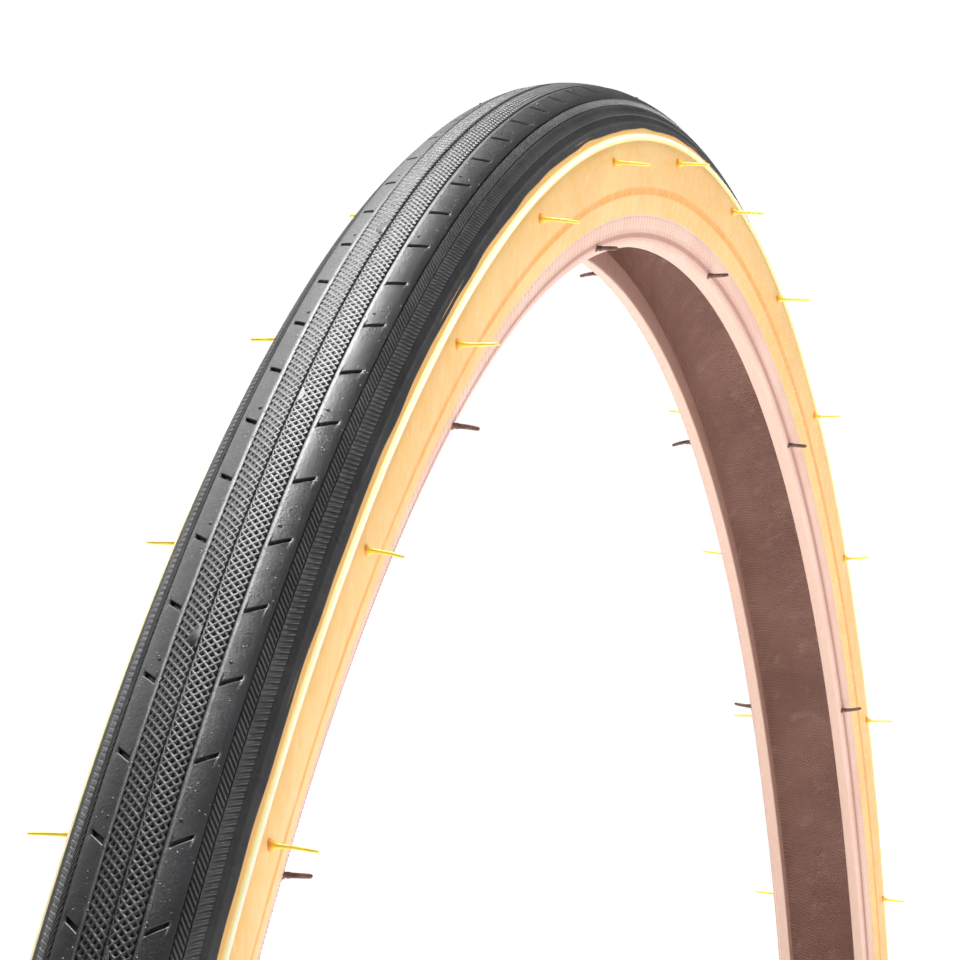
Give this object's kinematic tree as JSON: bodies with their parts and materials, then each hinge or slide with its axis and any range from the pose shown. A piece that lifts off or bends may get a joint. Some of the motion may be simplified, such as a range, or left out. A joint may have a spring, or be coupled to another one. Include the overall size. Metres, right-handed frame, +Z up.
{
  "type": "bicycle tire",
  "caption": "Narrow wire-bead bicycle tire with a black file-pattern tread, tan rubber sidewalls, woven bead strips and thin vent hairs, free of its rim.",
  "frame": {"origin": "centre of the wheel: on the axis, midway between the two beads", "axes": "+Y along the wheel axis, towards the left bead; +Z up and +X across the wheel, both in its middle plane"},
  "size_m": [0.672, 0.0324, 0.6719],
  "materials": {
    "tread_rubber": "semi-gloss moulded black rubber with a fine mould grain",
    "gum_rubber": "thin satin tan gum rubber, slightly translucent",
    "dark_rubber": "satin dark brown rubber",
    "chafer_cloth": "pink rubber-coated woven strip with a diagonal weave",
    "cord_ply": "dull brown rubber-coated cord fabric",
    "breaker_cloth": "rubber-coated woven strip",
    "filler_rubber": "matt dark rubber",
    "bead_steel": "bronze-plated drawn wire"
  },
  "bodies": {
    "root": {"tread_cap": "tread_rubber", "breaker_strip": "breaker_cloth", "casing_ply_outer": "cord_ply", "casing_ply_inner": "cord_ply", "tread_nubs_left": "tread_rubber", "tread_nubs_right": "tread_rubber", "sidewall_left": "gum_rubber", "sidewall_right": "gum_rubber", "sidewall_spews_left": "gum_rubber", "sidewall_spews_right": "gum_rubber", "chafer_left": "chafer_cloth", "chafer_right": "chafer_cloth", "bead_spews_left": "dark_rubber", "bead_spews_right": "dark_rubber", "bead_filler_left": "filler_rubber", "bead_filler_right": "filler_rubber", "bead_wire_left": "bead_steel", "bead_wire_right": "bead_steel"}
  },
  "joints": []
}
